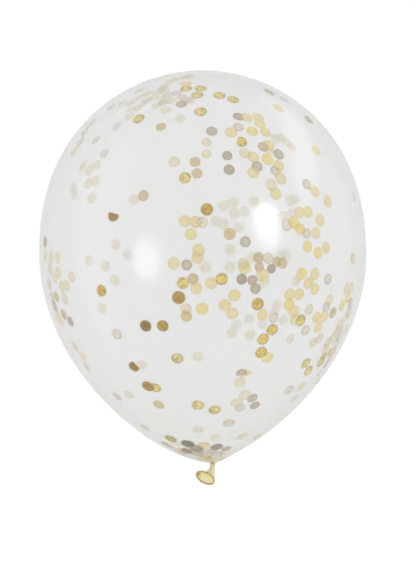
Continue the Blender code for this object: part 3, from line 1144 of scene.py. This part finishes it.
@dataclass
class Confetti:
    """All the loose discs, laid against the film in layers."""

    camera: PhotoCamera
    film: Object
    lining_depth: float
    radius: float = 0.0052
    thickness: float = 0.00003
    first_depth: float = 0.00006
    layer_step: float = 0.00006
    most_layers: int = 6
    sides: int = 16
    tone_spread: float = 0.03
    reach_share: float = 2.3
    scale_spread: float = 0.04
    most_curl: float = 0.00004
    fold_back: float = 1.12
    flap_lift: float = 1.5
    wall_skip: float = 0.00104
    seed: int = 4

    def __post_init__(self) -> None:
        """Makes what the rays are cast against, and the source of chance."""
        mesh = self.film.data
        corners = [vertex.co for vertex in mesh.vertices]
        self.target = BVHTree.FromPolygons(corners, [list(face.vertices) for face in mesh.polygons])
        self.chance = random.Random(self.seed)
        self.discs: list[Disc] = []

    def touch(self, spot: Spot, wall: Wall) -> tuple[Vector, Vector] | None:
        """Finds where the camera's ray through a pixel meets a wall.

        Args:
            spot: The pixel.
            wall: Near or far wall.

        Returns:
            The point and its outward normal, or None where the ray misses.
        """
        direction = self.camera.ray(spot)
        point, normal, _, _ = self.target.ray_cast(self.camera.place(), direction)
        if point is None:
            return None
        if wall is Wall.FAR:
            further, across, _, _ = self.target.ray_cast(point + direction * self.wall_skip, direction)
            if further is not None:
                point, normal = further, across
        return point, normal

    def lay(self, drift: Drift, spot: Spot) -> None:
        """Lays one disc where a pixel's ray meets its wall.

        Args:
            drift: The drift that it belongs to.
            spot: The pixel.
        """
        found = self.touch(spot, drift.wall)
        if found is None:
            return
        turn = self.chance.uniform(0, math.tau) if drift.fold_side is None else math.radians(drift.fold_side)
        tone = min(1.0, max(0.0, drift.paper.tone + self.chance.gauss(0, self.tone_spread)))
        stray = self.chance.uniform(1 - self.scale_spread, 1 + self.scale_spread)
        curl = self.chance.uniform(0, self.most_curl)
        disc = Disc(drift, *found, turn, tone, drift.size * drift.paper.size * stray, curl)
        disc.layer = self.free_layer(disc)
        self.discs.append(disc)

    def free_layer(self, disc: Disc) -> int:
        """Finds the outermost layer in which no neighbour overlaps a disc.

        Args:
            disc: The disc.

        Returns:
            The layer's number, from the film inwards, or the last one's where all are taken.
        """
        reach = self.reach_share * self.radius
        neighbours = [other for other in self.discs if (other.centre - disc.centre).length < reach]
        taken = {other.layer for other in neighbours if other.drift.wall is disc.drift.wall}
        return next((layer for layer in range(self.most_layers) if layer not in taken), self.most_layers - 1)

    def depth(self, disc: Disc) -> float:
        """How far inside the film a disc lies: the far wall's discs lie inside the lining too."""
        lining = self.lining_depth if disc.drift.wall is Wall.FAR else 0.0
        return lining + self.first_depth + self.layer_step * disc.layer

    def strew(self) -> None:
        """Lays every drift and cloud."""
        for drift in itertools.chain(DRIFTS, *(cloud.drifts() for cloud in CLOUDS)):
            for spot in drift.spots:
                self.lay(drift, spot)
                LOG.debug("%s at %.1f, %.1f", drift.name, *spot)

    def seeds_mesh(self, name: str) -> Mesh:
        """Makes a point for each disc of a piece, with the attributes that place and shape it.

        Args:
            name: The piece's name.

        Returns:
            The mesh of points.
        """
        discs = [disc for disc in self.discs if disc.drift.paper.piece == name]
        mesh = bpy.data.meshes.new(name)
        mesh.from_pydata([disc.centre for disc in discs], [], [])
        across, along = [], []
        for disc in discs:
            up = disc.outward.cross(self.camera.axes()[0]).normalized()
            side = up.cross(disc.outward)
            across.append((side * math.cos(disc.turn) + up * math.sin(disc.turn)) * disc.scale)
            along.append(disc.outward.cross(across[-1]))
        arrows = {"centre": [disc.centre for disc in discs], "across": across, "along": along}
        for label, vectors in arrows.items():
            layer = mesh.attributes.new(label, "FLOAT_VECTOR", "POINT")
            layer.data.foreach_set("vector", [value for vector in vectors for value in vector])
        numbers = {
            "depth": [self.depth(disc) for disc in discs], "fold": [disc.drift.fold for disc in discs],
            "curl": [disc.curl for disc in discs], TONE_NAME: [disc.tone for disc in discs],
        }
        for label, values in numbers.items():
            mesh.attributes.new(label, "FLOAT", "POINT").data.foreach_set("value", values)
        return mesh

    def build(self, name: str, material: Material) -> Object:
        """Grows one piece's discs in Geometry Nodes: stamped, folded, and pressed to the film.

        Args:
            name: The piece's name, which is also its slot in the record.
            material: Its finish.

        Returns:
            The finished piece.
        """
        paper = GrownMesh(name, {
            "Disc Radius": self.radius, "Disc Thickness": self.thickness, "Sides": self.sides,
            "Film": self.film, "Finish": material,
        })
        bench, size = paper.bench, paper.size
        stamp = bench.get("GeometryNodeMeshCylinder", {
            "Vertices": size("Sides"), "Side Segments": 1, "Fill Segments": 2,
            "Radius": size("Disc Radius"), "Depth": size("Disc Thickness"),
        }, fill_type="TRIANGLE_FAN")
        labelled = bench.store(stamp, "own_place", bench.get("GeometryNodeInputPosition"), "FLOAT_VECTOR")
        strewn = bench.get("GeometryNodeInstanceOnPoints", {"Points": size("Geometry"), "Instance": labelled})
        real = bench.get("GeometryNodeRealizeInstances", {"Geometry": strewn})

        def read(label: str, kind: str = "FLOAT") -> Term:
            """A named attribute of the discs."""
            return bench.get("GeometryNodeInputNamedAttribute", {"Name": label}, data_type=kind)

        own_x, own_y, own_z = bench.split(read("own_place", "FLOAT_VECTOR"))
        beyond = (own_x - read("fold")).step("MAXIMUM", 0.0)
        width = own_x - beyond * self.fold_back
        lift = beyond.step("GREATER_THAN", 0.0) * (size("Disc Thickness") * self.flap_lift)
        wide = width / size("Disc Radius")
        bend = wide * wide * read("curl")
        sideways = bench.stretch(read("across", "FLOAT_VECTOR"), width)
        flat = bench.together(sideways, bench.stretch(read("along", "FLOAT_VECTOR"), own_y))
        loose = bench.together(read("centre", "FLOAT_VECTOR"), flat)
        film = bench.get("GeometryNodeObjectInfo", {"Object": size("Film")}, "Geometry")
        nearest = bench.get("GeometryNodeProximity", {
            "Geometry": film, "Sample Position": loose,
        }, "Position", target_element="FACES")
        outward = bench.get("GeometryNodeSampleNearestSurface", {
            "Mesh": film, "Value": bench.get("GeometryNodeInputNormal"), "Sample Position": loose,
        }, data_type="FLOAT_VECTOR")
        pressed = bench.together(nearest, bench.stretch(outward, own_z - (read("depth") + lift + bend)))
        radial = bench.get("ShaderNodeVectorMath", {0: bench.join(own_x, own_y)}, "Value", operation="LENGTH")
        rimmed = bench.store(real, RIM_NAME, radial / size("Disc Radius"))
        mesh = bench.get("GeometryNodeSetPosition", {"Geometry": rimmed, "Position": pressed})
        for label in ("own_place", "centre", "across", "along", "depth", "fold", "curl"):
            mesh = bench.get("GeometryNodeRemoveAttribute", {"Geometry": mesh, "Name": label})
        paper.close(mesh, size("Finish"))
        piece = paper.grow(self.seeds_mesh(name))
        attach(piece, BODY_NAME)
        return piece


@dataclass(frozen=True)
class Softbox:
    """A soft light, placed so that the film mirrors it at a pixel of the photograph.

    Its sizes and its distance from the film are in metres, and its lean is in degrees.
    """

    name: str
    spot: Spot
    width: float
    height: float
    radiance: float
    distance: float = 1.4
    lean: float = 0.0

    def set_up(self, confetti: Confetti) -> Object:
        """Hangs the light where the film's near wall mirrors it to the camera.

        Args:
            confetti: What casts the camera's rays.

        Returns:
            The light.
        """
        point, normal = confetti.touch(self.spot, Wall.NEAR)
        arrow = confetti.camera.ray(self.spot)
        away = arrow - normal * 2 * arrow.dot(normal)
        level = confetti.camera.axes()[0]
        level = (level - away * level.dot(away)).normalized()
        side = Matrix.Rotation(math.radians(self.lean), 3, away) @ level
        data = bpy.data.lights.new(self.name, "AREA")
        data.shape = "ELLIPSE"
        data.size, data.size_y = self.width, self.height
        data.energy = self.radiance * math.pi * self.width * self.height * math.pi / 4
        light = put(self.name, data)
        turn = Matrix((side, away.cross(side), away)).transposed().to_4x4()
        light.matrix_world = Matrix.Translation(point + away * self.distance) @ turn
        light.visible_camera = light.visible_diffuse = False
        return light


@dataclass
class Studio:
    """Plain pale floor, soft lights and the room's even light."""

    floor_half: float = 8.0
    floor_gap: float = 0.0002
    floor_albedo: float = 0.46
    floor_glow: float = 0.62
    floor_roughness: float = 0.9
    mottle_scale: float = 3.0
    mottle_share: float = 0.97
    room_colour: Colour = WHITE
    softboxes: tuple[Softbox, ...] = (
        Softbox("key softbox", (263.5, 219.5), 0.53, 0.50, 4.6),
        Softbox("side softbox", (146.5, 263.0), 0.48, 0.54, 2.8),
        Softbox("broad glow", (302.0, 150.0), 0.14, 0.56, 0.72, 0.30, 60.0),
        Softbox("glow heart", (303.0, 152.0), 0.08, 0.36, 0.5, 0.30, 60.0),
        Softbox("left panel", (74.0, 240.0), 2.6, 4.6, 0.38, 1.8),
        Softbox("right panel", (352.0, 236.0), 0.24, 0.60, 0.26, 0.35),
    )

    def lay_floor(self) -> Object:
        """Lays the pale floor just under the balloon.

        Returns:
            The floor.
        """
        finish, bench, shader = new_finish("studio floor")
        albedos = self.floor_albedo, self.floor_albedo * self.mottle_share
        light, dark = [(albedo, albedo, albedo, 1.0) for albedo in albedos]
        bench.fill(shader, {
            "Base Color": bench.blend(bench.noise(bench.place(), self.mottle_scale), light, dark),
            "Roughness": self.floor_roughness, "Specular IOR Level": 0.0,
            "Emission Color": WHITE, "Emission Strength": self.floor_glow,
        })
        mesh = bpy.data.meshes.new("floor")
        half, drop = self.floor_half, -self.floor_gap
        corners = [(half * side, half * ahead, drop) for side, ahead in ((-1, -1), (1, -1), (1, 1), (-1, 1))]
        mesh.from_pydata(corners, [], [range(len(corners))])
        mesh.materials.append(finish)
        floor = put("floor", mesh)
        return floor

    def light(self, confetti: Confetti) -> None:
        """Hangs the softboxes and fills the room.

        Args:
            confetti: What casts the camera's rays.
        """
        for softbox in self.softboxes:
            softbox.set_up(confetti)
        world = bpy.data.worlds.new("studio room")
        world.use_nodes = True
        world.node_tree.nodes["Background"].inputs["Color"].default_value = self.room_colour
        bpy.context.scene.world = world
        bpy.context.scene.view_settings.view_transform = "Standard"


def triangles(piece: Object) -> int:
    """Number of triangles in a piece."""
    return sum(len(face.vertices) - 2 for face in piece.data.polygons)


def main() -> None:
    """Builds the balloon, its confetti and the studio, and reports each piece."""
    logging.basicConfig(level=logging.INFO, format="%(name)s: %(message)s")
    low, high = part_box("balloon_body")
    body = BodyForm(belly_width=high.x - low.x)
    camera = PhotoCamera(body.laying())
    camera.set_up()
    skin = BalloonSkin(body, TailForm())
    film = skin.build_film()
    confetti = Confetti(camera, film, skin.wall)
    confetti.strew()
    pieces = [confetti.build(name, finish.material()) for name, finish in FINISHES.items()]
    studio = Studio()
    studio.lay_floor()
    studio.light(confetti)
    pieces.append(skin.finish())
    for piece in pieces:
        LOG.info("%s: %d triangles", piece.name, triangles(piece))
    LOG.info("%d discs, layers used %d", len(confetti.discs), 1 + max(disc.layer for disc in confetti.discs))


if __name__ == "__main__":
    main()
